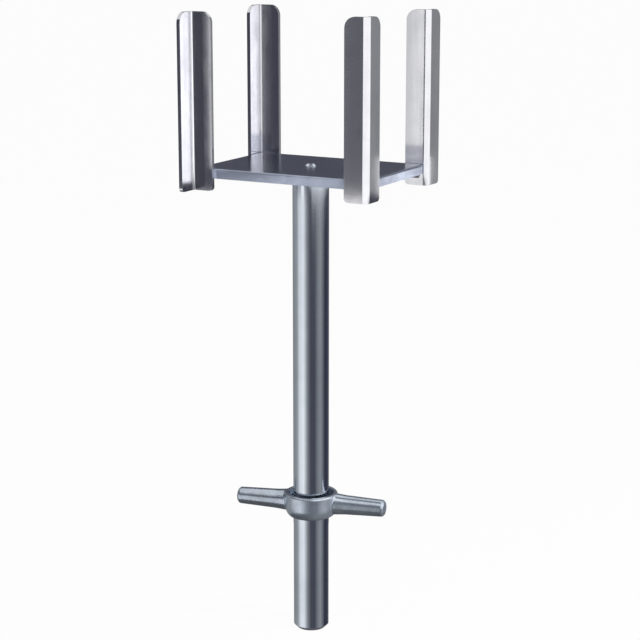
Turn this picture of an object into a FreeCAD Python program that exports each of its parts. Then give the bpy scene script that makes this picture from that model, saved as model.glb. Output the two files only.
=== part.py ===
import FreeCAD
import Part
import Sketcher
import os

# Fork head jack: four angle posts round a head plate, a round stem below it and a handled nut on the stem.
# Millimetres. +Z is up, the origin is the middle of the stem's lower end.

doc = FreeCAD.newDocument("ForkHeadJack")

# Driving dimensions

DIMENSIONS = [
    ("head_length", 203.0, "over the outside of the posts, along X"),
    ("head_width", 141.0, "over the outside of the legs along the plate's long edges, along Y"),
    ("seat_height", 504.0, "top of the head plate above the stem's lower end"),
    ("plate_thick", 10.0, "head plate"),
    ("plate_corner", 5.0, "radius of the plate's upright corners"),
    ("plate_edge", 2.0, "rounding of the plate's top rim"),
    ("post_leg", 26.0, "width of each leg of the angle"),
    ("post_wall", 4.0, "thickness of the angle's legs"),
    ("post_heel", 6.0, "radius outside the angle's heel"),
    ("post_root", 2.0, "radius inside the angle's heel"),
    ("post_above", 158.0, "post above the plate's top"),
    ("post_below", 22.5, "post below the plate's top"),
    ("toe_top", 11.0, "rounding of each leg's upper outer corner"),
    ("toe_bottom", 4.0, "rounding of each leg's lower outer corner"),
    ("stem_radius", 19.0, "stem over its working length"),
    ("pilot_radius", 18.8, "stem's plain lower end, which enters the tube"),
    ("pilot_length", 118.0, "height of the step above the stem's lower end"),
    ("stem_chamfer", 4.0, "bevel round the stem's lower end"),
    ("tenon_radius", 6.0, "stem's turned end through the plate"),
    ("tenon_rise", 2.5, "domed end above the plate's top"),
    ("tenon_bevel", 2.2, "bevel round the domed end"),
    ("tenon_play", 0.05, "radial room between the turned end and the plate's hole"),
    ("weld_leg", 6.0, "ring weld under the plate"),
    ("weld_play", 0.02, "room between the ring weld and the stem"),
    ("bead_leg", 5.0, "post welds under the plate"),
    ("bead_foot", 2.0, "width of the post welds at their lower side"),
    ("bead_end", 3.0, "distance the post welds stop short of the leg's free edge"),
    ("bead_heel", 0.3, "how much rounder the post welds' heel is than the angle's root"),
    ("nut_bottom", 127.0, "underside of the nut above the stem's lower end"),
    ("nut_height", 26.0, "nut"),
    ("nut_foot", 22.5, "nut's radius at its underside"),
    ("nut_rim", 28.5, "nut's largest radius"),
    ("nut_flare", 14.0, "height at which the flared bowl reaches its rim radius"),
    ("nut_belly", 9.0, "rounding where the bowl meets the rim"),
    ("nut_lip", 1.8, "rounding of the rim"),
    ("nut_play", 0.05, "radial running room between nut and stem"),
    ("cup_radius", 24.0, "recess in the nut's top"),
    ("cup_depth", 9.0, "recess in the nut's top"),
    ("cup_taper", 3.0, "height of the recess's sloping floor"),
    ("handle_height", 14.5, "handles' axis above the nut's underside"),
    ("handle_reach", 82.0, "handle's end from the stem's axis"),
    ("handle_root", 11.4, "handle's radius where it leaves the nut"),
    ("handle_neck", 10.4, "handle's radius after the flare"),
    ("handle_tip", 8.9, "handle's radius at its end"),
    ("handle_flare", 10.0, "length of the flare beyond the nut's rim"),
    ("handle_bevel", 2.4, "bevel round the handle's end"),
    ("handle_turn", 11.8, "angle of the handles from the X axis, degrees"),
]

sheet = doc.addObject("Spreadsheet::Sheet", "dims")
for row, (alias, value, note) in enumerate(DIMENSIONS, start=1):
    sheet.set(f"A{row}", alias)
    sheet.set(f"B{row}", str(value))
    sheet.set(f"C{row}", note)
    sheet.setAlias(f"B{row}", alias)
doc.recompute()


class Length:
    """A length as an expression in the sheet's names, with its present value in millimetres."""

    def __init__(self, text, value):
        self.text = text
        self.value = value

    def __add__(self, other):
        return Length(f"({self.text} + {other.text})", self.value + other.value)

    def __sub__(self, other):
        return Length(f"({self.text} - {other.text})", self.value - other.value)

    def __mul__(self, factor):
        return Length(f"({self.text} * {factor})", self.value * factor)

    def __neg__(self):
        return Length(f"(-1 * {self.text})", -self.value)

    def half(self):
        """Return half the length."""
        return Length(f"({self.text} / 2)", self.value / 2)


ZERO = Length("0", 0.0)


def dim(alias):
    """Return a driving dimension of the sheet as a length."""
    return Length(f"dims.{alias}", float(getattr(sheet, alias)))


# Sketching helpers


def new_body(label):
    """Add an empty body that bears the label of its sub-part."""
    body = doc.addObject("PartDesign::Body", label)
    body.Label = label
    return body


def origin_plane(body, role):
    """Return the body's own origin plane of the given role."""
    for feature in body.Origin.OriginFeatures:
        if feature.Role == role:
            return feature
    raise RuntimeError(f"{body.Label} has no {role}")


def new_sketch(body, name, role):
    """Add a sketch on one of the body's origin planes."""
    sketch = body.newObject("Sketcher::SketchObject", f"{body.Name}_{name}")
    sketch.AttachmentSupport = [(origin_plane(body, role), "")]
    sketch.MapMode = "FlatFace"
    return sketch


def pin_to_axes(sketch, edge, across, up):
    """Place the first point of a sketch edge by two lengths; ZERO puts it on the axis."""
    for length, kind, axis in ((across, "DistanceX", -2), (up, "DistanceY", -1)):
        if length is ZERO:
            sketch.addConstraint(Sketcher.Constraint("PointOnObject", edge, 1, axis))
            continue
        index = sketch.addConstraint(Sketcher.Constraint(kind, -1, 1, edge, 1, length.value))
        sketch.setExpression(f"Constraints[{index}]", length.text)


def polygon(sketch, corners):
    """Draw a closed outline whose corners are pairs of lengths."""
    points = [FreeCAD.Vector(across.value, up.value, 0) for across, up in corners]
    count = len(points)
    for index, point in enumerate(points):
        following = points[(index + 1) % count]
        sketch.addGeometry(Part.LineSegment(point, following), False)
    for index in range(count):
        sketch.addConstraint(Sketcher.Constraint("Coincident", index, 2, (index + 1) % count, 1))
    for index, (across, up) in enumerate(corners):
        pin_to_axes(sketch, index, across, up)


def revolve(body, name, corners, kind="PartDesign::Revolution"):
    """Turn an outline in the body's XZ plane about its Z axis."""
    sketch = new_sketch(body, f"{name}_profile", "XZ_Plane")
    polygon(sketch, corners)
    feature = body.newObject(kind, f"{body.Name}_{name}")
    feature.Profile = sketch
    feature.ReferenceAxis = (sketch, ["V_Axis"])
    feature.Angle = 360.0
    doc.recompute()
    return feature


def pad(body, name, corners, depth, lift):
    """Raise an outline in the body's XY plane from a height by a depth."""
    sketch = new_sketch(body, f"{name}_outline", "XY_Plane")
    polygon(sketch, corners)
    sketch.setExpression("AttachmentOffset.Base.z", lift.text)
    feature = body.newObject("PartDesign::Pad", f"{body.Name}_{name}")
    feature.Profile = sketch
    feature.setExpression("Length", depth.text)
    doc.recompute()
    return feature


def edges_where(feature, test):
    """Name the feature's edges whose ends and middle all pass the test."""
    names = []
    for index, edge in enumerate(feature.Shape.Edges, start=1):
        points = [vertex.Point for vertex in edge.Vertexes]
        points.append(edge.valueAt((edge.FirstParameter + edge.LastParameter) / 2))
        if all(test(point) for point in points):
            names.append(f"Edge{index}")
    if not names:
        raise RuntimeError(f"{feature.Label} has no edge for its finish")
    return names


def round_edges(body, name, base, test, radius):
    """Round the edges of a feature that pass the test."""
    feature = body.newObject("PartDesign::Fillet", f"{body.Name}_{name}")
    feature.Base = (base, edges_where(base, test))
    feature.setExpression("Radius", radius.text)
    doc.recompute()
    return feature


def near(value, length):
    """Tell whether a number is a length within a hundredth of a millimetre."""
    return abs(value - length.value) < 0.01


# Head plate

seat = dim("seat_height")
plate_under = seat - dim("plate_thick")
plate_x = dim("head_length").half() - dim("post_wall")
plate_y = dim("head_width").half() - dim("post_wall")

plate = new_body("head_plate")
slab = pad(
    plate,
    "slab",
    [
        (-plate_x, -plate_y),
        (plate_x, -plate_y),
        (plate_x, plate_y),
        (-plate_x, plate_y),
    ],
    dim("plate_thick"),
    plate_under,
)

hole_radius = dim("tenon_radius") + dim("tenon_play")
hole_sketch = new_sketch(plate, "tenon_hole_outline", "XY_Plane")
hole_circle = Part.Circle(FreeCAD.Vector(0, 0, 0), FreeCAD.Vector(0, 0, 1), hole_radius.value)
hole_sketch.addGeometry(hole_circle, False)
hole_sketch.addConstraint(Sketcher.Constraint("Coincident", 0, 3, -1, 1))
hole_index = hole_sketch.addConstraint(Sketcher.Constraint("Radius", 0, hole_radius.value))
hole_sketch.setExpression(f"Constraints[{hole_index}]", hole_radius.text)
hole_sketch.setExpression("AttachmentOffset.Base.z", seat.text)
hole = plate.newObject("PartDesign::Pocket", "head_plate_tenon_hole")
hole.Profile = hole_sketch
hole.setExpression("Length", dim("plate_thick").text)
doc.recompute()
if not hole.Shape.Volume < slab.Shape.Volume:
    raise RuntimeError("the plate's hole did not cut")


def on_plate_corner(point):
    """Tell whether a point lies on one of the plate's upright corners."""
    return near(abs(point.x), plate_x) and near(abs(point.y), plate_y)


def on_plate_rim(point):
    """Tell whether a point lies on the outer rim of the plate's top."""
    outside = max(abs(point.x) - plate_x.value, abs(point.y) - plate_y.value)
    return near(point.z, seat) and near(outside, ZERO)


corners_done = round_edges(plate, "corners", hole, on_plate_corner, dim("plate_corner"))
rim_done = round_edges(plate, "rim", corners_done, on_plate_rim, dim("plate_edge"))
plate.Tip = rim_done

# Posts and their welds

# The two posts on the right stand one way round and the two on the left the other way. So two of them wrap
# a corner of the plate, and the second leg of the other two points away from the plate.

CORNERS = [
    ("front_left", -1, -1, 270.0, False),
    ("front_right", 1, -1, 90.0, True),
    ("back_right", 1, 1, 90.0, False),
    ("back_left", -1, 1, 270.0, True),
]

post_leg = dim("post_leg")
post_wall = dim("post_wall")
post_top = seat + dim("post_above")
post_bottom = seat - dim("post_below")
bead_leg = dim("bead_leg")
bead_side = post_wall + bead_leg
bead_low = plate_under - bead_leg
bead_stop = post_leg - dim("bead_end")


def angle_outline(start, leg, wall):
    """Return the outline of an angle whose heel is at (start, start)."""
    return [
        (start, start),
        (leg, start),
        (leg, wall),
        (wall, wall),
        (wall, leg),
        (start, leg),
    ]


def stand_at_corner(body, side_x, side_y, turn, wraps):
    """Move a corner piece's heel outside the plate's corner, or onto the line of the plate's long edge."""
    heel_y = dim("head_width").half() if wraps else plate_y
    corner_x = dim("head_length").half() * side_x
    corner_y = heel_y * side_y
    base = FreeCAD.Vector(corner_x.value, corner_y.value, 0)
    body.Placement = FreeCAD.Placement(base, FreeCAD.Rotation(FreeCAD.Vector(0, 0, 1), turn))
    body.setExpression("Placement.Base.x", corner_x.text)
    body.setExpression("Placement.Base.y", corner_y.text)


def on_heel(point):
    """Tell whether a point lies on the corner outside the angle's heel."""
    return near(point.x, ZERO) and near(point.y, ZERO)


def on_root(point):
    """Tell whether a point lies on the corner inside the angle's heel."""
    return near(point.x, post_wall) and near(point.y, post_wall)


def on_toe(point):
    """Tell whether a point lies on the free edge of either leg."""
    return near(point.x, post_leg) or near(point.y, post_leg)


def on_upper_toe(point):
    """Tell whether a point lies on a leg's free edge at the post's top."""
    return on_toe(point) and near(point.z, post_top)


def on_lower_toe(point):
    """Tell whether a point lies on a leg's free edge at the post's foot."""
    return on_toe(point) and near(point.z, post_bottom)


def on_bead_edge(point):
    """Tell whether a point lies on a corner weld's lower inner edge."""
    return near(min(point.x, point.y), bead_side) and near(point.z, bead_low)


def on_straight_bead_edge(point):
    """Tell whether a point lies on a straight weld's lower free edge."""
    return near(point.x, -bead_leg) and near(point.z, bead_low)


def make_post(label):
    """Build one post of angle with its heel on the body's Z axis and its legs along +X and +Y."""
    body = new_body(label)
    outline = angle_outline(ZERO, post_leg, post_wall)
    bar = pad(body, "bar", outline, dim("post_above") + dim("post_below"), post_bottom)
    heel = round_edges(body, "heel", bar, on_heel, dim("post_heel"))
    root = round_edges(body, "root", heel, on_root, dim("post_root"))
    upper = round_edges(body, "upper_toes", root, on_upper_toe, dim("toe_top"))
    lower = round_edges(body, "lower_toes", upper, on_lower_toe, dim("toe_bottom"))
    body.Tip = lower
    return body


def slope_bead(body, run, test):
    """Slope a weld's free side, so that it narrows downwards."""
    slope = body.newObject("PartDesign::Chamfer", f"{body.Name}_slope")
    slope.Base = (run, edges_where(run, test))
    slope.setExpression("Size", (bead_leg - dim("bead_foot")).text)
    doc.recompute()
    body.Tip = slope


def make_corner_weld(label):
    """Build the weld that runs under the plate along the inside of a post that wraps the plate's corner."""
    body = new_body(label)
    outline = angle_outline(post_wall, bead_stop, bead_side)
    run = pad(body, "run", outline, bead_leg, bead_low)
    root = round_edges(body, "root", run, on_root, dim("post_root") + dim("bead_heel"))
    slope_bead(body, root, on_bead_edge)
    return body


def make_straight_weld(label):
    """Build the weld that runs under the plate along the outside of a post's leg on the plate's long edge."""
    body = new_body(label)
    start = post_wall + dim("plate_corner")
    outline = [(-bead_leg, start), (ZERO, start), (ZERO, bead_stop), (-bead_leg, bead_stop)]
    run = pad(body, "run", outline, bead_leg, bead_low)
    slope_bead(body, run, on_straight_bead_edge)
    return body


bodies = [plate]
for corner, side_x, side_y, turn, wraps in CORNERS:
    post = make_post(f"post_{corner}")
    stand_at_corner(post, side_x, side_y, turn, wraps)
    make_weld = make_corner_weld if wraps else make_straight_weld
    bead = make_weld(f"post_weld_{corner}")
    stand_at_corner(bead, side_x, side_y, turn, wraps)
    bodies.append(post)
    bodies.append(bead)

# Stem

stem_radius = dim("stem_radius")
pilot_radius = dim("pilot_radius")
pilot_length = dim("pilot_length")
tenon_radius = dim("tenon_radius")
tenon_top = seat + dim("tenon_rise")

stem = new_body("stem")
bar = revolve(
    stem,
    "bar",
    [
        (ZERO, ZERO),
        (pilot_radius - dim("stem_chamfer"), ZERO),
        (pilot_radius, dim("stem_chamfer")),
        (pilot_radius, pilot_length),
        (stem_radius, pilot_length),
        (stem_radius, plate_under),
        (tenon_radius, plate_under),
        (tenon_radius, tenon_top - dim("tenon_bevel")),
        (tenon_radius - dim("tenon_bevel"), tenon_top),
        (ZERO, tenon_top),
    ],
)
stem.Tip = bar
bodies.append(stem)

weld_inside = stem_radius + dim("weld_play")
ring_weld = new_body("stem_weld")
ring = revolve(
    ring_weld,
    "ring",
    [
        (weld_inside, plate_under),
        (weld_inside, plate_under - dim("weld_leg")),
        (weld_inside + dim("weld_leg"), plate_under),
    ],
)
ring_weld.Tip = ring
bodies.append(ring_weld)

# Handled nut, built with its underside on the body's XY plane

nut_foot = dim("nut_foot")
nut_rim = dim("nut_rim")
nut_flare = dim("nut_flare")
nut_height = dim("nut_height")

nut = new_body("handle_nut")
bowl = revolve(
    nut,
    "bowl",
    [
        (ZERO, ZERO),
        (nut_foot, ZERO),
        (nut_rim, nut_flare),
        (nut_rim, nut_height),
        (ZERO, nut_height),
    ],
)


def on_rim_radius(point):
    """Tell whether a point lies on the nut's largest radius."""
    return near((point.x**2 + point.y**2) ** 0.5, nut_rim)


def on_belly(point):
    """Tell whether a point lies where the flared bowl meets the rim."""
    return on_rim_radius(point) and near(point.z, nut_flare)


def on_lip(point):
    """Tell whether a point lies on the rim's upper edge."""
    return on_rim_radius(point) and near(point.z, nut_height)


belly = round_edges(nut, "belly", bowl, on_belly, dim("nut_belly"))
lip = round_edges(nut, "lip", belly, on_lip, dim("nut_lip"))

handle_root = dim("handle_root")
handle_tip = dim("handle_tip")
handle_reach = dim("handle_reach")
handle_bevel = dim("handle_bevel")

handle_sketch = new_sketch(nut, "handle_profile", "XZ_Plane")
handle_sketch.setExpression("AttachmentOffset.Base.y", dim("handle_height").text)
polygon(
    handle_sketch,
    [
        (nut_foot, ZERO),
        (nut_foot, handle_root),
        (nut_rim, handle_root),
        (nut_rim + dim("handle_flare"), dim("handle_neck")),
        (handle_reach - handle_bevel, handle_tip),
        (handle_reach, handle_tip - handle_bevel),
        (handle_reach, ZERO),
    ],
)
handle = nut.newObject("PartDesign::Revolution", "handle_nut_handle")
handle.Profile = handle_sketch
handle.ReferenceAxis = (handle_sketch, ["H_Axis"])
handle.Angle = 360.0
doc.recompute()

pair = nut.newObject("PartDesign::PolarPattern", "handle_nut_pair")
pair.Originals = [handle]
pair.Axis = (bowl.Profile[0], ["V_Axis"])
pair.Angle = 360.0
pair.Occurrences = 2
nut.Tip = pair
doc.recompute()

cup_radius = dim("cup_radius")
cup_floor = nut_height - dim("cup_depth")
bore_radius = stem_radius + dim("nut_play")
bore = revolve(
    nut,
    "bore",
    [
        (ZERO, -nut_height),
        (bore_radius, -nut_height),
        (bore_radius, cup_floor - dim("cup_taper")),
        (cup_radius, cup_floor),
        (cup_radius, nut_height * 2),
        (ZERO, nut_height * 2),
    ],
    kind="PartDesign::Groove",
)
if not bore.Shape.Volume < pair.Shape.Volume:
    raise RuntimeError("the nut's bore did not cut")

nut.Tip = bore
nut.setExpression("Placement.Base.z", dim("nut_bottom").text)
nut.setExpression("Placement.Rotation.Angle", dim("handle_turn").text)
bodies.append(nut)

# Check and write

doc.recompute()
for item in doc.Objects:
    if "Invalid" in item.State or "Error" in item.State:
        raise RuntimeError(f"{item.Label} did not compute: {item.State}")

os.makedirs("parts", exist_ok=True)
for body in bodies:
    shape = body.Shape
    if shape.isNull() or not shape.isValid() or len(shape.Solids) != 1:
        raise RuntimeError(f"{body.Label} is not one sound solid")
    shape.exportStep(f"parts/{body.Label}.step")
    box = shape.BoundBox
    print(
        f"{body.Label}: {shape.Volume:.0f} mm3,",
        f"x {box.XMin:.1f}..{box.XMax:.1f},",
        f"y {box.YMin:.1f}..{box.YMax:.1f},",
        f"z {box.ZMin:.1f}..{box.ZMax:.1f}",
    )
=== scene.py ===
"""Looks of a fork head jack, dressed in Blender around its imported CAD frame.

Lengths are in metres.
"""

import logging
import math
from dataclasses import dataclass, field
from enum import Enum

import bmesh
import bpy
from mathutils import Matrix, Vector


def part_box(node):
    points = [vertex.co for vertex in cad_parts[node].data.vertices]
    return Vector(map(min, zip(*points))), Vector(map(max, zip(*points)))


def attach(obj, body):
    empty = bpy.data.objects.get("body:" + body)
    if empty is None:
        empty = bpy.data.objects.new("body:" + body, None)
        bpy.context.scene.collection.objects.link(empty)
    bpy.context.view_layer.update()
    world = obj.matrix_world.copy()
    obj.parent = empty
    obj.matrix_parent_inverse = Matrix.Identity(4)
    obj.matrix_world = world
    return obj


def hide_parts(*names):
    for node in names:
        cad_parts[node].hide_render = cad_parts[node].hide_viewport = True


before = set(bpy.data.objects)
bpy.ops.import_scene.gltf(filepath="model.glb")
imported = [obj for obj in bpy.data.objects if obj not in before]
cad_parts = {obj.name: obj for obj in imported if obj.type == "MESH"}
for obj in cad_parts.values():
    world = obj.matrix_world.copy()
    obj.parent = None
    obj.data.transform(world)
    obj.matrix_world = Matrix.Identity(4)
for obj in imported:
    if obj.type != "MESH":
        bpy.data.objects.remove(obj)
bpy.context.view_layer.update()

Colour = tuple[float, float, float]
Point = tuple[float, float, float] | Vector
Face = tuple[int, ...]

UP = Vector((0.0, 0.0, 1.0))

# Sockets of a Mix node that mixes colours.
MIX_SHARE, MIX_FROM, MIX_TO, MIX_RESULT = 0, 6, 7, 2

# How the edges of a CAD node are rounded.
SEAM_GAP = 0.00001
EDGE_STEPS = 3
EDGE_ANGLE = math.radians(40.0)

# Size of a weld bead at its very ends, as a share of its full size.
END_FULLNESS = 0.55

# Reflector cloth is slightly cool where it is dim.
COOL_GREEN = 0.04
COOL_BLUE = 0.8

# Number of flat pieces in a full ring of cloth or round a sheet, and in a short card.
ROUND_STEPS = 96
CARD_STEPS = 12

log = logging.getLogger("fork_head_jack")


class Slot(Enum):
    """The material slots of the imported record."""

    PLATE = "plate_steel"
    POST = "post_steel"
    STEM = "stem_steel"
    NUT = "nut_casting"
    WELD = "weld"


class Corner(Enum):
    """The four corners of the head, as the CAD nodes name them."""

    FRONT_LEFT = "front_left"
    FRONT_RIGHT = "front_right"
    BACK_LEFT = "back_left"
    BACK_RIGHT = "back_right"


class Operation(Enum):
    """What is done to one solid with another."""

    ADD = "UNION"
    CUT = "DIFFERENCE"


class Wiring:
    """A shorthand for laying out the nodes of one shader."""

    def __init__(self, tree: bpy.types.NodeTree) -> None:
        """Starts from an empty tree."""
        self.tree = tree
        tree.nodes.clear()

    def node(self, kind: str, **settings: object) -> bpy.types.Node:
        """Adds one node.

        Args:
            kind: Blender's name of the node, without the "ShaderNode" at its front.
            settings: Properties of the node, or values of its named input sockets.

        Returns:
            The new node.
        """
        new = self.tree.nodes.new("ShaderNode" + kind)
        for name, value in settings.items():
            socket = new.inputs.get(name.replace("_", " "))
            if socket is not None:
                socket.default_value = value
            else:
                setattr(new, name, value)
        return new

    def link(self, source: bpy.types.NodeSocket, target: bpy.types.NodeSocket) -> None:
        """Joins an output socket to an input socket."""
        self.tree.links.new(source, target)

    def noise(
        self, place: bpy.types.NodeSocket, scale: float, detail: float, roughness: float
    ) -> bpy.types.NodeSocket:
        """Adds a noise texture.

        Args:
            place: Socket that gives the place on the surface.
            scale: Scale of the noise.
            detail: Number of its finer layers.
            roughness: Strength of its finer layers.

        Returns:
            The socket that gives the noise.
        """
        texture = self.node("TexNoise", Scale=scale, Detail=detail, Roughness=roughness)
        self.link(place, texture.inputs["Vector"])
        return texture.outputs["Fac"]

    def choose(
        self, share: bpy.types.NodeSocket, first: bpy.types.NodeSocket, second: bpy.types.NodeSocket
    ) -> bpy.types.NodeSocket:
        """Mixes two shaders.

        Args:
            share: Socket that gives the share of the second shader.
            first: The first shader's socket.
            second: The second shader's socket.

        Returns:
            The mixed shader's socket.
        """
        mix = self.node("MixShader")
        self.link(share, mix.inputs["Fac"])
        self.link(first, mix.inputs[1])
        self.link(second, mix.inputs[2])
        return mix.outputs["Shader"]

    def surface(self, shader: bpy.types.NodeSocket, output: str = "OutputMaterial") -> None:
        """Sends a shader to the surface."""
        self.link(shader, self.node(output).inputs["Surface"])


def new_material(name: str) -> tuple[bpy.types.Material, Wiring]:
    """Starts a material.

    Args:
        name: Name of the material.

    Returns:
        The material and its empty shader.
    """
    material = bpy.data.materials.new(name)
    material.use_nodes = True
    return material, Wiring(material.node_tree)


def glowing(name: str, colour: Colour) -> bpy.types.Material:
    """Builds a material that glows evenly.

    Args:
        name: Name of the material.
        colour: Its brightness in red, green and blue.

    Returns:
        The material.
    """
    material, wiring = new_material(name)
    glow = wiring.node("Emission", Color=(*colour, 1.0), Strength=1.0)
    wiring.surface(glow.outputs["Emission"])
    return material


def mesh_of(name: str, points: list[Point], faces: list[Face]) -> bpy.types.Mesh:
    """Builds a mesh from its points and faces.

    Args:
        name: Name of the mesh.
        points: Its points.
        faces: The numbers of the points round each face.

    Returns:
        The mesh.
    """
    mesh = bpy.data.meshes.new(name)
    mesh.from_pydata(points, [], faces)
    return mesh


def placed(name: str, data: bpy.types.ID) -> bpy.types.Object:
    """Adds an object to the scene.

    Args:
        name: Name of the object.
        data: Its mesh, light or camera.

    Returns:
        The object.
    """
    new = bpy.data.objects.new(name, data)
    bpy.context.scene.collection.objects.link(new)
    return new


@dataclass(frozen=True)
class ZincFinish:
    """Zinc plating on steel: a clouded colour, drawn streaks, an uneven gloss and a fine grain.

    Args:
        slot: The material slot that the finish dresses.
        bright: Colour where the plating is clean.
        dull: Colour where the plating is clouded or streaked.
        roughness: Lowest and highest roughness over the surface.
        streak_scale: Noise scale of the streaks along x, y and z; a low number draws them out.
        cloud_scale: Noise scale of the clouds.
        grain_scale: Noise scale of the fine grain.
        grain_depth: Height of the grain.
        stain: Colour of faint stains.
        stain_share: Strongest share of the stain's colour.
        metallic: How far the surface is bare metal, from 0 to 1.
        colour_range: Sheen between which the colour goes from dull to bright.
        gloss_range: Sheen between which the roughness goes from highest to lowest.
        stain_range: Cloudiness between which the stains come in.
        grain_strength: Strength of the grain.
    """

    slot: Slot
    bright: Colour
    dull: Colour
    roughness: tuple[float, float]
    streak_scale: tuple[float, float, float]
    cloud_scale: float
    grain_scale: float
    grain_depth: float
    stain: Colour
    stain_share: float
    metallic: float = 1.0
    colour_range: tuple[float, float] = (0.12, 0.36)
    gloss_range: tuple[float, float] = (0.12, 0.4)
    stain_range: tuple[float, float] = (0.58, 0.78)
    grain_strength: float = 0.5

    def material(self) -> bpy.types.Material:
        """Builds the material.

        Returns:
            A material named for the finish's slot.
        """
        material, wiring = new_material("finish_" + self.slot.value)
        place = wiring.node("TexCoord").outputs["Object"]
        stretch = wiring.node("Mapping", Scale=self.streak_scale)
        wiring.link(place, stretch.inputs["Vector"])
        streaks = wiring.noise(stretch.outputs["Vector"], 1.0, detail=4.0, roughness=0.6)
        clouds = wiring.noise(place, self.cloud_scale, detail=5.0, roughness=0.55)
        grain = wiring.noise(place, self.grain_scale, detail=3.0, roughness=0.6)
        sheen = wiring.node("Math", operation="MULTIPLY")
        wiring.link(streaks, sheen.inputs[0])
        wiring.link(clouds, sheen.inputs[1])

        plating = wiring.node("ValToRGB")
        ends = zip(plating.color_ramp.elements, self.colour_range, (self.dull, self.bright))
        for element, position, tone in ends:
            element.position = position
            element.color = (*tone, 1.0)
        wiring.link(sheen.outputs["Value"], plating.inputs["Fac"])
        patch = wiring.node(
            "MapRange", From_Min=self.stain_range[0], From_Max=self.stain_range[1],
            To_Min=0.0, To_Max=self.stain_share,
        )
        wiring.link(clouds, patch.inputs["Value"])
        colour = wiring.node("Mix", data_type="RGBA")
        colour.inputs[MIX_TO].default_value = (*self.stain, 1.0)
        wiring.link(patch.outputs["Result"], colour.inputs[MIX_SHARE])
        wiring.link(plating.outputs["Color"], colour.inputs[MIX_FROM])

        gloss = wiring.node(
            "MapRange", From_Min=self.gloss_range[0], From_Max=self.gloss_range[1],
            To_Min=self.roughness[1], To_Max=self.roughness[0],
        )
        wiring.link(sheen.outputs["Value"], gloss.inputs["Value"])
        bump = wiring.node("Bump", Strength=self.grain_strength, Distance=self.grain_depth)
        wiring.link(grain, bump.inputs["Height"])

        shader = wiring.node("BsdfPrincipled", Metallic=self.metallic)
        wiring.link(colour.outputs[MIX_RESULT], shader.inputs["Base Color"])
        wiring.link(gloss.outputs["Result"], shader.inputs["Roughness"])
        wiring.link(bump.outputs["Normal"], shader.inputs["Normal"])
        wiring.surface(shader.outputs["BSDF"])
        return material


PLATE_FINISH = ZincFinish(
    slot=Slot.PLATE, bright=(0.4, 0.44, 0.54), dull=(0.29, 0.32, 0.4), roughness=(0.14, 0.24),
    streak_scale=(40.0, 9.0, 40.0), cloud_scale=22.0, grain_scale=900.0, grain_depth=0.00008,
    stain=(0.2, 0.22, 0.26), stain_share=0.4,
)
POST_FINISH = ZincFinish(
    slot=Slot.POST, bright=(0.65, 0.65, 0.68), dull=(0.55, 0.55, 0.58), roughness=(0.07, 0.11),
    streak_scale=(90.0, 90.0, 6.0), cloud_scale=30.0, grain_scale=900.0, grain_depth=0.000008,
    stain=(0.34, 0.34, 0.38), stain_share=0.3,
)
STEM_FINISH = ZincFinish(
    slot=Slot.STEM, bright=(0.62, 0.66, 0.72), dull=(0.52, 0.56, 0.62), roughness=(0.09, 0.15),
    streak_scale=(160.0, 160.0, 3.0), cloud_scale=26.0, grain_scale=1100.0, grain_depth=0.00003,
    stain=(0.42, 0.45, 0.5), stain_share=0.25,
)
NUT_FINISH = ZincFinish(
    slot=Slot.NUT, bright=(0.59, 0.66, 0.75), dull=(0.42, 0.47, 0.54), roughness=(0.18, 0.28),
    streak_scale=(70.0, 70.0, 70.0), cloud_scale=38.0, grain_scale=620.0, grain_depth=0.0001,
    stain=(0.3, 0.26, 0.22), stain_share=0.35, metallic=0.82,
)
WELD_FINISH = ZincFinish(
    slot=Slot.WELD, bright=(0.46, 0.47, 0.5), dull=(0.31, 0.31, 0.33), roughness=(0.28, 0.42),
    streak_scale=(120.0, 120.0, 120.0), cloud_scale=60.0, grain_scale=1200.0, grain_depth=0.0001,
    stain=(0.28, 0.24, 0.2), stain_share=0.5, metallic=0.7,
)


def dress(node: str, finish: ZincFinish, material: bpy.types.Material) -> None:
    """Gives a CAD node its finish and reports it.

    Args:
        node: Name of the CAD node.
        finish: The finish that the material was built from.
        material: The built material.
    """
    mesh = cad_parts[node].data
    mesh.materials.clear()
    mesh.materials.append(material)
    log.info("dressed %s in %s", node, finish.slot.value)


def soften_edges(node: str, width: float) -> None:
    """Rounds the sharp edges of a CAD node as it is seen, so that they catch the light.

    Args:
        node: Name of the CAD node.
        width: Width of the rounding.
    """
    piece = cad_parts[node]
    weld = piece.modifiers.new("close_seams", "WELD")
    weld.merge_threshold = SEAM_GAP
    bevel = piece.modifiers.new("edges", "BEVEL")
    bevel.width = width
    bevel.segments = EDGE_STEPS
    bevel.limit_method = "ANGLE"
    bevel.angle_limit = EDGE_ANGLE
    shade = piece.modifiers.new("shading", "WEIGHTED_NORMAL")
    shade.keep_sharp = False


@dataclass(frozen=True)
class Station:
    """One cross-section of a weld bead.

    Args:
        root: Where the wall meets the plate's underside.
        out: Direction away from the wall, under the plate.
        along: Distance run so far, which sets the ripple.
        fullness: Size of the bead here, from 0 to 1; it thins out at its ends.
        aside: Direction away from a second wall, where the bead turns a corner.
        room: Distance left to that second wall; far more than the bead needs where there is none.
    """

    root: Vector
    out: Vector
    along: float
    fullness: float = 1.0
    aside: Vector = field(default_factory=Vector)
    room: float = 1.0


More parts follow.
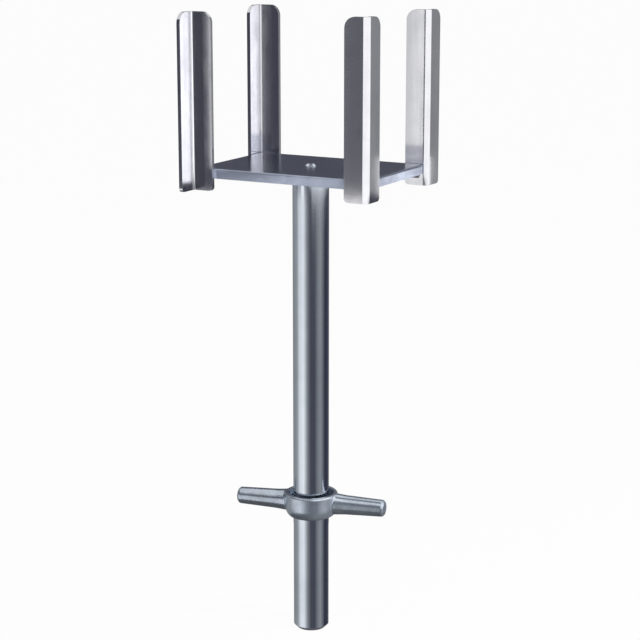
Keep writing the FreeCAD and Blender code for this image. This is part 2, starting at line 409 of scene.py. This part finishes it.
@dataclass
class WeldBead:
    """A run of weld under the head plate, rippled where each drop of metal set on the last one.

    Args:
        name: Name of the bead.
        node: The CAD node that it stands for.
        leg: How far the bead reaches along the wall and along the plate.
        stations: Its cross-sections in order.
        closed: Whether the last cross-section joins the first.
        pitch: Distance between the ripples.
        bow: How far each ripple bows along the bead, as a share of the pitch.
        swell: Bulge of the bead's face between two ripples, as a share of a round face.
        ripple: How much more of a round face the bulge takes up on top of a ripple.
        arc: Number of steps across the bead's face.
        root_depth: How far the bead bites into the wall and the plate.
    """

    name: str
    node: str
    leg: float
    stations: list[Station]
    closed: bool = False
    pitch: float = 0.0018
    bow: float = 0.4
    swell: float = 0.05
    ripple: float = 0.45
    arc: int = 8
    root_depth: float = 0.0003

    def section(self, station: Station) -> list[Vector]:
        """Gives the points of one cross-section.

        Args:
            station: The place of the cross-section.

        Returns:
            The root of the bead, then its face from the wall to the plate.
        """
        points = [station.root - self.root_depth * station.out + self.root_depth * UP]
        reach = self.leg * station.fullness
        for step in range(self.arc + 1):
            share = step / self.arc
            phase = station.along / self.pitch + self.bow * math.sin(math.pi * share)
            hump = 1.0 - (2.0 * (phase % 1.0) - 1.0) ** 2
            swell = self.swell + self.ripple * hump
            turn = 0.5 * math.pi * share
            out = reach * (share + swell * (math.sin(turn) - share))
            drop = reach * (1.0 - share + swell * (math.cos(turn) - 1.0 + share))
            shift = max(0.0, out - station.room)
            points.append(station.root + out * station.out + shift * station.aside - drop * UP)
        return points

    def build(self, material: bpy.types.Material) -> None:
        """Builds the bead and puts it in the place of its CAD node.

        Args:
            material: The weld's finish.
        """
        width = self.arc + 2
        points = [point for station in self.stations for point in self.section(station)]
        count = len(self.stations)
        faces: list[Face] = []
        for number in range(count if self.closed else count - 1):
            here = number * width
            there = (number + 1) % count * width
            for side in range(width):
                after = (side + 1) % width
                faces.append((here + side, here + after, there + after, there + side))
        if not self.closed:
            faces.append(tuple(range(width)))
            faces.append(tuple((count - 1) * width + side for side in range(width)))
        mesh = mesh_of(self.name, points, faces)
        tidy = bmesh.new()
        tidy.from_mesh(mesh)
        bmesh.ops.recalc_face_normals(tidy, faces=tidy.faces)
        tidy.to_mesh(mesh)
        tidy.free()
        mesh.shade_smooth()
        mesh.materials.append(material)
        bead = placed(self.name, mesh)
        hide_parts(self.node)
        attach(bead, "head")
        log.info("laid %s with %d cross-sections", self.name, count)


def run_along(
    path: list[Vector], out: list[Vector], spacing: float, thin: float
) -> list[Station]:
    """Lays the cross-sections of a bead along one wall, or round the inside of two.

    Args:
        path: The root line: two ends of a straight bead, or two ends with the corner between them.
        out: Direction away from the wall, for each stretch of the path.
        spacing: Distance between cross-sections.
        thin: Distance over which the bead thins out at its ends.

    Returns:
        The cross-sections from end to end.
    """
    lengths = [(path[turn + 1] - path[turn]).length for turn in range(len(out))]
    total = sum(lengths)
    stations = []
    done = 0.0
    for turn, length in enumerate(lengths):
        steps = max(2, round(length / spacing))
        for step in range(1 if turn else 0, steps + 1):
            share = step / steps
            root = path[turn].lerp(path[turn + 1], share)
            along = done + length * share
            edge = min(1.0, min(along, total - along) / thin)
            fullness = END_FULLNESS + (1.0 - END_FULLNESS) * math.sqrt(1.0 - (1.0 - edge) ** 2)
            if len(out) == 1:
                stations.append(Station(root, out[turn], along, fullness))
            else:
                room = length * (share if turn else 1.0 - share)
                stations.append(Station(root, out[turn], along, fullness, out[1 - turn], room))
        done += length
    return stations


@dataclass
class Head:
    """The head plate, its four angle posts and the welds that hold them.

    Args:
        plate: The plate's CAD node.
        posts: The posts' CAD nodes.
        bead_spacing: Distance between the cross-sections of a post's weld.
        bead_thin: Distance over which a post's weld thins out at its ends.
        ring_ripples: Number of ripples round the ring weld.
        ripple_steps: Number of cross-sections in each of them.
        post_edge: Rounding of the posts' sharp edges.
        plate_edge: Rounding of the plate's sharp edges.
    """

    plate: str = "head_plate"
    posts: tuple[str, ...] = tuple("post_" + corner.value for corner in Corner)
    bead_spacing: float = 0.00022
    bead_thin: float = 0.0025
    ring_ripples: int = 62
    ripple_steps: int = 8
    post_edge: float = 0.0009
    plate_edge: float = 0.0007

    def build(self) -> None:
        """Dresses the plate, the posts and the welds."""
        dress(self.plate, PLATE_FINISH, PLATE_FINISH.material())
        soften_edges(self.plate, self.plate_edge)
        post_material = POST_FINISH.material()
        for post in self.posts:
            dress(post, POST_FINISH, post_material)
            soften_edges(post, self.post_edge)
        weld_material = WELD_FINISH.material()
        for bead in [*map(self.post_bead, Corner), self.stem_bead()]:
            dress(bead.node, WELD_FINISH, weld_material)
            bead.build(weld_material)

    def post_bead(self, corner: Corner) -> WeldBead:
        """Lays the weld of one post, where the CAD has it.

        Args:
            corner: The post's corner of the head.

        Returns:
            A bead along the post's leg, or inside both legs where the post wraps the plate.
        """
        node = "post_weld_" + corner.value
        low, high = (Vector(point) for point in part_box(node))
        front = corner in (Corner.FRONT_LEFT, Corner.FRONT_RIGHT)
        right = corner in (Corner.FRONT_RIGHT, Corner.BACK_RIGHT)
        wall_y, open_y = (low.y, high.y) if front else (high.y, low.y)
        wall_x, open_x = (high.x, low.x) if right else (low.x, high.x)
        from_wall_y = Vector((0.0, 1.0 if front else -1.0, 0.0))
        from_wall_x = Vector((-1.0 if right else 1.0, 0.0, 0.0))
        if corner in (Corner.FRONT_LEFT, Corner.BACK_RIGHT):
            line = [(low.x, wall_y), (high.x, wall_y)]
            out = [from_wall_y]
        else:
            line = [(open_x, wall_y), (wall_x, wall_y), (wall_x, open_y)]
            out = [from_wall_y, from_wall_x]
        path = [Vector((*place, high.z)) for place in line]
        stations = run_along(path, out, self.bead_spacing, self.bead_thin)
        return WeldBead("bead_" + corner.value, node, high.z - low.z, stations)

    def stem_bead(self) -> WeldBead:
        """Lays the ring weld between the stem and the plate's underside.

        Returns:
            A closed bead round the stem.
        """
        low, high = (Vector(point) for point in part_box("stem_weld"))
        leg = high.z - low.z
        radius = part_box("stem")[1][0]
        count = self.ring_ripples * self.ripple_steps
        pitch = 2.0 * math.pi * radius / self.ring_ripples
        stations = []
        for step in range(count):
            turn = 2.0 * math.pi * step / count
            out = Vector((math.cos(turn), math.sin(turn), 0.0))
            stations.append(Station(radius * out + high.z * UP, out, turn * radius))
        return WeldBead("bead_stem", "stem_weld", leg, stations, closed=True, pitch=pitch)


@dataclass
class Stem:
    """The round bar under the head.

    Args:
        bar: The bar's CAD node.
    """

    bar: str = "stem"

    def build(self) -> None:
        """Dresses the bar."""
        dress(self.bar, STEM_FINISH, STEM_FINISH.material())


def turned(name: str, profile: list[tuple[float, float]], segments: int) -> bpy.types.Object:
    """Turns a profile round the Z axis into a closed solid.

    Args:
        name: Name of the solid.
        profile: Radius and height of each point, from the lower end on the axis to the upper end.
        segments: Number of steps round the axis.

    Returns:
        The solid, linked into the scene.
    """
    points: list[Point] = [(0.0, 0.0, profile[0][1])]
    for radius, height in profile[1:-1]:
        for step in range(segments):
            turn = 2.0 * math.pi * step / segments
            points.append((radius * math.cos(turn), radius * math.sin(turn), height))
    points.append((0.0, 0.0, profile[-1][1]))
    top = len(points) - 1
    last = top - segments
    faces: list[Face] = []
    for step in range(segments):
        after = (step + 1) % segments
        faces.append((0, 1 + after, 1 + step))
        faces.append((top, last + step, last + after))
        for ring in range(1, last, segments):
            above = ring + segments
            faces.append((ring + step, ring + after, above + after, above + step))
    return placed(name, mesh_of(name, points, faces))


def combine(solid: bpy.types.Object, operation: Operation, tool: bpy.types.Object) -> None:
    """Adds another solid to a solid, or cuts it out.

    Args:
        solid: The solid that is worked on.
        operation: What is done to it.
        tool: The solid that is added or cut out.
    """
    step = solid.modifiers.new(tool.name, "BOOLEAN")
    step.operation = operation.value
    step.solver = "EXACT"
    step.object = tool


@dataclass
class HandledNut:
    """The cast nut: a round-lipped bowl on the stem, drawn out into two tapered handles.

    Args:
        node: The CAD node that it stands for.
        height: Height of the bowl.
        foot: Radius of its underside.
        rim: Its largest radius.
        flare: Height at which it reaches that radius.
        lip: Rounding of its outer upper edge.
        cup: Radius of the recess in its top.
        cup_depth: Depth of the recess down to its sloping floor.
        cup_taper: Height of the sloping floor.
        cup_edge: Bevel round the mouth of the recess.
        bore: Radius of its bore on the stem.
        axis_height: Height of the handles' axis above the underside.
        bearing: Angle of the handles from the X axis, in degrees.
        handle: Radius of a handle at distances from the stem's axis, from the bowl to its end.
        belly_steps: Number of steps up the belly.
        lip_steps: Number of steps round the lip.
        bowl_sides: Number of steps round the bowl and the recess.
        handle_sides: Number of steps round the handles.
        overcut: How far the tool for the recess reaches past the casting.
        grain: Size of the cells from which the casting's skin is drawn.
        soften: Rounds of smoothing that give the casting its soft corners.
        soften_share: Strength of each round.
        crease: Angle from which an edge stays sharp, in degrees.
    """

    node: str = "handle_nut"
    height: float = 0.026
    foot: float = 0.0215
    rim: float = 0.0285
    flare: float = 0.0155
    lip: float = 0.0022
    cup: float = 0.024
    cup_depth: float = 0.009
    cup_taper: float = 0.003
    cup_edge: float = 0.0006
    bore: float = 0.01905
    axis_height: float = 0.0145
    bearing: float = 11.8
    handle: tuple[tuple[float, float], ...] = (
        (0.0114, 0.0285), (0.0109, 0.033), (0.0104, 0.0385), (0.009, 0.0796), (0.0066, 0.082),
    )
    belly_steps: int = 12
    lip_steps: int = 8
    bowl_sides: int = 128
    handle_sides: int = 64
    overcut: float = 0.004
    grain: float = 0.0007
    soften: int = 8
    soften_share: float = 0.5
    crease: float = 38.0

    def build(self) -> None:
        """Models the casting, dresses it and puts it in the place of its CAD node."""
        material = NUT_FINISH.material()
        dress(self.node, NUT_FINISH, material)
        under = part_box(self.node)[0][2]
        bowl = self.bowl()
        handles = self.handles()
        recess = self.recess()
        combine(bowl, Operation.ADD, handles)
        skin = bowl.modifiers.new("skin", "REMESH")
        skin.mode = "VOXEL"
        skin.voxel_size = self.grain
        soft = bowl.modifiers.new("soft_corners", "SMOOTH")
        soft.factor = self.soften_share
        soft.iterations = self.soften
        combine(bowl, Operation.CUT, recess)
        made = bowl.evaluated_get(bpy.context.evaluated_depsgraph_get())
        mesh = bpy.data.meshes.new_from_object(made)
        for helper in (bowl, handles, recess):
            bpy.data.objects.remove(helper)
        mesh.transform(Matrix.Translation(under * UP))
        mesh.shade_smooth()
        mesh.set_sharp_from_angle(angle=math.radians(self.crease))
        mesh.materials.clear()
        mesh.materials.append(material)
        casting = placed("handled_nut", mesh)
        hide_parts(self.node)
        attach(casting, "nut")
        log.info("cast %s with %d faces", casting.name, len(mesh.polygons))

    def bowl(self) -> bpy.types.Object:
        """Turns the bowl, from its foot over the belly and the lip to its top.

        Returns:
            The bowl without its recess, standing on the ground.
        """
        profile = [(0.0, 0.0), (self.foot, 0.0)]
        for step in range(1, self.belly_steps + 1):
            turn = 0.5 * math.pi * step / self.belly_steps
            radius = self.foot + (self.rim - self.foot) * math.sin(turn)
            profile.append((radius, self.flare * (1.0 - math.cos(turn))))
        for step in range(self.lip_steps + 1):
            turn = 0.5 * math.pi * step / self.lip_steps
            radius = self.rim - self.lip * (1.0 - math.cos(turn))
            profile.append((radius, self.height - self.lip * (1.0 - math.sin(turn))))
        profile.append((0.0, self.height))
        return turned("bowl", profile, self.bowl_sides)

    def handles(self) -> bpy.types.Object:
        """Turns both handles as one spindle and lays it across the bowl.

        Returns:
            The spindle.
        """
        side = list(self.handle)
        profile = [(0.0, -side[-1][1])]
        profile += [(radius, -reach) for radius, reach in reversed(side)]
        profile += side
        profile.append((0.0, side[-1][1]))
        spindle = turned("handles", profile, self.handle_sides)
        turn = math.radians(self.bearing)
        along = Vector((math.cos(turn), math.sin(turn), 0.0))
        lay = along.to_track_quat("Z", "Y").to_matrix().to_4x4()
        spindle.data.transform(Matrix.Translation(self.axis_height * UP) @ lay)
        return spindle

    def recess(self) -> bpy.types.Object:
        """Turns the tool that cuts the bore and the recess above it.

        Returns:
            The tool.
        """
        floor = self.height - self.cup_depth
        top = self.height + self.overcut
        profile = [
            (0.0, -self.overcut),
            (self.bore, -self.overcut),
            (self.bore, floor - self.cup_taper),
            (self.cup, floor),
            (self.cup, self.height - self.cup_edge),
            (self.cup + self.cup_edge + self.overcut, top),
            (0.0, top),
        ]
        return turned("recess", profile, self.bowl_sides)


def seen_in_metal_only(card: bpy.types.Object) -> None:
    """Hides a studio card from everything but reflections."""
    card.visible_camera = False
    card.visible_diffuse = False
    card.visible_transmission = False
    card.visible_volume_scatter = False
    card.visible_shadow = False


def round_sheet(
    name: str, radius: float, height: float, material: bpy.types.Material
) -> bpy.types.Object:
    """Lays a level round sheet round the stem's axis.

    Args:
        name: Name of the sheet.
        radius: Its radius.
        height: Its height.
        material: Its material.

    Returns:
        The sheet.
    """
    bpy.ops.mesh.primitive_circle_add(
        vertices=ROUND_STEPS, radius=radius, fill_type="NGON", location=height * UP
    )
    sheet = bpy.context.object
    sheet.name = name
    sheet.data.materials.append(material)
    return sheet


@dataclass(frozen=True)
class Stop:
    """One stop of a reflector band: the band's brightness at a bearing.

    Args:
        bearing: Degrees round the object from the camera, to the camera's right.
        level: Brightness there.
    """

    bearing: float
    level: float


@dataclass
class ReflectorBand:
    """A ring of studio cloth round the object, which only polished metal sees.

    Args:
        name: Name of the band.
        low: Height of its lower edge.
        high: Height of its upper edge.
        stops: Its brightness round the object, from behind on the left to behind on the right.
        radius: Radius of the ring.
        arc: The bearings between which the ring is hung; all the way round, unless it is a card.
        segments: Number of flat pieces that make up the arc.
    """

    name: str
    low: float
    high: float
    stops: list[Stop]
    radius: float = 1.0
    arc: tuple[float, float] = (-180.0, 180.0)
    segments: int = ROUND_STEPS

    def build(self, facing: float) -> None:
        """Builds the band.

        Args:
            facing: The camera's azimuth in radians, to which the bearings refer.
        """
        start, end = (math.radians(bearing) for bearing in self.arc)
        points: list[Point] = []
        faces: list[Face] = []
        for step in range(self.segments + 1):
            turn = start + (end - start) * step / self.segments
            out = (self.radius * math.sin(turn), -self.radius * math.cos(turn))
            points += [(*out, self.low), (*out, self.high)]
        for step in range(self.segments):
            faces.append((2 * step, 2 * step + 2, 2 * step + 3, 2 * step + 1))
        mesh = mesh_of(self.name, points, faces)
        mesh.materials.append(self.cloth())
        band = placed(self.name, mesh)
        band.rotation_euler.z = facing
        seen_in_metal_only(band)

    def cloth(self) -> bpy.types.Material:
        """Builds the band's glowing cloth.

        Returns:
            A material whose brightness follows the stops.
        """
        material, wiring = new_material(self.name)
        place = wiring.node("SeparateXYZ")
        wiring.link(wiring.node("TexCoord").outputs["Object"], place.inputs["Vector"])
        front = wiring.node("Math", operation="MULTIPLY")
        front.inputs[1].default_value = -1.0
        wiring.link(place.outputs["Y"], front.inputs[0])
        bearing = wiring.node("Math", operation="ARCTAN2")
        wiring.link(place.outputs["X"], bearing.inputs[0])
        wiring.link(front.outputs["Value"], bearing.inputs[1])
        share = wiring.node("MapRange", From_Min=-math.pi, From_Max=math.pi)
        wiring.link(bearing.outputs["Value"], share.inputs["Value"])
        ramp = wiring.node("ValToRGB")
        elements = ramp.color_ramp.elements
        elements.remove(elements[1])
        for number, stop in enumerate(self.stops):
            position = (stop.bearing + 180.0) / 360.0
            element = elements[0] if number == 0 else elements.new(position)
            element.position = position
            cool = COOL_GREEN * (1.0 - min(stop.level, 1.0))
            blue = stop.level + cool * COOL_BLUE
            element.color = (stop.level, stop.level * (1.0 + cool), blue, 1.0)
        wiring.link(share.outputs["Result"], ramp.inputs["Fac"])
        glow = wiring.node("Emission", Strength=1.0)
        wiring.link(ramp.outputs["Color"], glow.inputs["Color"])
        wiring.surface(glow.outputs["Emission"])
        return material


def reflector_card(
    name: str, heights: tuple[float, float], level: float, radius: float, arc: tuple[float, float]
) -> ReflectorBand:
    """Hangs a short piece of evenly bright cloth.

    Args:
        name: Name of the card.
        heights: Heights of its lower and its upper edge.
        level: Its brightness.
        radius: Its distance from the stem's axis.
        arc: The bearings between which it is hung.

    Returns:
        The card, as a band that goes only a short way round.
    """
    return ReflectorBand(name, *heights, [Stop(-180, level)], radius, arc, CARD_STEPS)


@dataclass
class CornerCard:
    """A narrow card in front of a post, which lights one leg inside its corner by two reflections.

    Args:
        name: Name of the card.
        corner: The upright line inside the post's corner.
        low: Height of its lower edge.
        high: Height of its upper edge.
        level: Its brightness.
        distance: How far it hangs from the corner, towards the camera.
        near_edge: How far its first edge stands clear of the line of sight to the corner.
        width: Its width.
    """

    name: str
    corner: tuple[float, float]
    low: float
    high: float
    level: float = 2.7
    distance: float = 0.2
    near_edge: float = 0.0012
    width: float = 0.019

    def build(self, camera: Vector) -> None:
        """Builds the card, edge on to what the posts' front faces mirror.

        Args:
            camera: Where the camera stands.
        """
        sight = Vector((camera.x - self.corner[0], camera.y - self.corner[1], 0.0)).normalized()
        along = Vector((sight.x, -sight.y, 0.0))
        start = Vector((*self.corner, 0.0)) + self.distance * sight + self.near_edge * along
        end = start + self.width * along
        points = [
            (edge.x, edge.y, height) for edge in (start, end) for height in (self.low, self.high)
        ]
        mesh = mesh_of(self.name, points, [(0, 2, 3, 1)])
        mesh.materials.append(glowing(self.name, (self.level, self.level, self.level)))
        card = placed(self.name, mesh)
        seen_in_metal_only(card)


@dataclass
class LevelCard:
    """A round card under or over the object, which only polished metal sees.

    Args:
        name: Name of the card.
        height: Its height.
        radius: Its radius.
        level: Its brightness.
        cool: How much brighter it is in blue, as a factor.
    """

    name: str
    height: float
    radius: float
    level: float
    cool: float = 1.05

    def build(self) -> None:
        """Builds the card."""
        glow = glowing(self.name, (self.level, self.level, self.level * self.cool))
        card = round_sheet(self.name, self.radius, self.height, glow)
        seen_in_metal_only(card)


@dataclass
class Studio:
    """The floor, the light, the reflector cloth and the camera.

    Args:
        azimuth: Where the camera stands round the object, in degrees from the front to the right.
        elevation: How far it looks down, in degrees.
        distance: How far it stands from the point that it looks at.
        lens: Its focal length in millimetres.
        sensor: Width of its sensor in millimetres.
        far: How far it sees.
        aim_height: Height of the point that it looks at.
        aim_right: How far that point lies to the camera's right of the stem's axis.
        floor_radius: Radius of the floor.
        floor_paint: Colour of the floor's paint.
        floor_glow: Share of plain white in the floor as the camera sees it.
        ambient: Strength of the room's own light.
        key_power: Power of the lamp in watts.
        key_size: Its diameter.
        key_bearing: Degrees round the object from the camera to the lamp, to the camera's right.
        key_elevation: Degrees of the lamp above the horizon.
        key_distance: How far the lamp stands from the stem's axis.
        bands: The reflector bands, and the cards that are parts of a ring.
        corner_cards: The cards that light the inside of the posts.
        level_cards: The cards under and over the object.
    """

    azimuth: float = 28.53
    elevation: float = 12.87
    distance: float = 1.9435
    lens: float = 104.25
    sensor: float = 36.0
    far: float = 100.0
    aim_height: float = 0.34115
    aim_right: float = 0.0095
    floor_radius: float = 24.0
    floor_paint: Colour = (0.9, 0.9, 0.9)
    floor_glow: float = 0.97
    ambient: float = 0.12
    key_power: float = 64.0
    key_size: float = 0.7
    key_bearing: float = 62.0
    key_elevation: float = 10.0
    key_distance: float = 2.0
    bands: list[ReflectorBand] = field(
        default_factory=lambda: [
            ReflectorBand(
                "stem_band", -0.6, 0.333,
                [
                    Stop(-180, 0.25), Stop(-130, 0.35), Stop(-98, 0.45), Stop(-76, 1.1),
                    Stop(-48, 1.2), Stop(-24, 0.34), Stop(-4, 0.1), Stop(24, 0.09),
                    Stop(44, 0.28), Stop(62, 0.38), Stop(82, 0.2), Stop(98, 0.05),
                    Stop(130, 0.06), Stop(180, 0.25),
                ],
            ),
            ReflectorBand(
                "head_band", 0.333, 1.2,
                [
                    Stop(-180, 0.1), Stop(-150, 0.12), Stop(-122, 0.5), Stop(-96, 0.14),
                    Stop(-70, 0.1), Stop(-60, 0.06), Stop(-52, 0.17), Stop(-30, 0.16),
                    Stop(1, 0.1), Stop(4, 0.7), Stop(10, 1.5), Stop(98, 1.5), Stop(108, 0.5),
                    Stop(114, 0.34), Stop(142, 0.34), Stop(156, 0.14), Stop(180, 0.1),
                ],
            ),
            reflector_card("rim_card", (0.42, 0.446), 1.4, radius=0.4, arc=(-62.0, -43.3)),
            ReflectorBand(
                "post_card", 0.446, 0.75, [Stop(-49, 0.85), Stop(-45, 1.35)],
                radius=0.4, arc=(-54.0, -44.1), segments=CARD_STEPS,
            ),
            reflector_card("side_card", (0.425, 0.472), 2.3, radius=0.4, arc=(109.2, 117.0)),
            reflector_card("edge_card", (0.464, 0.70), 1.4, radius=0.4, arc=(-64.3, -61.5)),
            reflector_card("heel_card", (0.46, 0.70), 1.5, radius=0.2, arc=(-10.5, 42.0)),
        ]
    )
    corner_cards: list[CornerCard] = field(
        default_factory=lambda: [
            CornerCard("front_left_card", (-0.0975, -0.0665), 0.475, 0.70, distance=0.1),
            CornerCard(
                "back_left_card", (-0.0975, 0.0665), 0.49, 0.70, distance=0.245, near_edge=0.003
            ),
        ]
    )
    level_cards: list[LevelCard] = field(
        default_factory=lambda: [
            LevelCard("ground_card", -0.6, 1.0, 0.14),
            LevelCard("ceiling_card", 0.8, 0.12, 0.3),
        ]
    )

    def build(self) -> None:
        """Builds the room, the floor, the light, the reflector cloth and the camera."""
        self.build_world()
        self.build_floor()
        self.build_lamp()
        for band in self.bands:
            band.build(math.radians(self.azimuth))
        for card in self.corner_cards:
            card.build(self.camera_place())
        for card in self.level_cards:
            card.build()
        self.build_camera()

    def build_world(self) -> None:
        """Makes the room white to the eye and in metal, and softer as a light."""
        world = bpy.data.worlds.new("studio")
        world.use_nodes = True
        bpy.context.scene.world = world
        wiring = Wiring(world.node_tree)
        rays = wiring.node("LightPath")
        shown = rays.outputs["Is Camera Ray"]
        for kind in ("Is Glossy Ray", "Is Transmission Ray"):
            either = wiring.node("Math", operation="MAXIMUM")
            wiring.link(shown, either.inputs[0])
            wiring.link(rays.outputs[kind], either.inputs[1])
            shown = either.outputs["Value"]
        light = wiring.node("Background", Color=(1.0, 1.0, 1.0, 1.0), Strength=self.ambient)
        white = wiring.node("Background", Color=(1.0, 1.0, 1.0, 1.0), Strength=1.0)
        room = wiring.choose(shown, light.outputs["Background"], white.outputs["Background"])
        wiring.surface(room, "OutputWorld")

    def build_floor(self) -> None:
        """Lays a plain white floor that keeps the object's shadow."""
        material, wiring = new_material("white_floor")
        paint = wiring.node("BsdfDiffuse", Color=(*self.floor_paint, 1.0))
        glow = wiring.node("Emission", Color=(1.0, 1.0, 1.0, 1.0), Strength=1.0)
        share = wiring.node("Math", operation="MULTIPLY")
        share.inputs[1].default_value = self.floor_glow
        wiring.link(wiring.node("LightPath").outputs["Is Camera Ray"], share.inputs[0])
        look = wiring.choose(
            share.outputs["Value"], paint.outputs["BSDF"], glow.outputs["Emission"]
        )
        wiring.surface(look)
        floor = round_sheet("floor", self.floor_radius, 0.0, material)
        floor.visible_glossy = False
        floor.visible_diffuse = False

    def build_lamp(self) -> None:
        """Stands one large soft lamp on the camera's right."""
        data = bpy.data.lights.new("key", "AREA")
        data.shape = "DISK"
        data.size = self.key_size
        data.energy = self.key_power
        lamp = placed("key", data)
        out = self.from_camera(self.key_bearing, self.key_elevation)
        lamp.location = self.aim_height * UP + self.key_distance * out
        lamp.rotation_euler = (-out).to_track_quat("-Z", "Y").to_euler()
        lamp.visible_glossy = False

    def from_camera(self, bearing: float, elevation: float) -> Vector:
        """Gives a direction out from the object.

        Args:
            bearing: Degrees round the object from the camera, to the camera's right.
            elevation: Degrees above the horizon.

        Returns:
            The direction as a unit vector.
        """
        turn = math.radians(self.azimuth + bearing)
        tilt = math.radians(elevation)
        level = math.cos(tilt)
        return Vector((math.sin(turn) * level, -math.cos(turn) * level, math.sin(tilt)))

    def camera_place(self) -> Vector:
        """Finds where the camera stands.

        Returns:
            The camera's place.
        """
        aim = self.aim_height * UP + self.aim_right * self.from_camera(90.0, 0.0)
        return aim + self.distance * self.from_camera(0.0, self.elevation)

    def build_camera(self) -> None:
        """Sets the camera at the photograph's view."""
        data = bpy.data.cameras.new("camera")
        data.lens = self.lens
        data.sensor_width = self.sensor
        data.clip_end = self.far
        camera = placed("camera", data)
        camera.location = self.camera_place()
        ahead = -self.from_camera(0.0, self.elevation)
        camera.rotation_euler = ahead.to_track_quat("-Z", "Y").to_euler()
        bpy.context.scene.camera = camera


def main() -> None:
    """Builds the jack's sub-assemblies in order, then the studio round them."""
    logging.basicConfig(level=logging.INFO, format="%(message)s")
    bpy.context.scene.view_settings.view_transform = "Standard"
    Head().build()
    Stem().build()
    HandledNut().build()
    Studio().build()


if __name__ == "__main__":
    main()
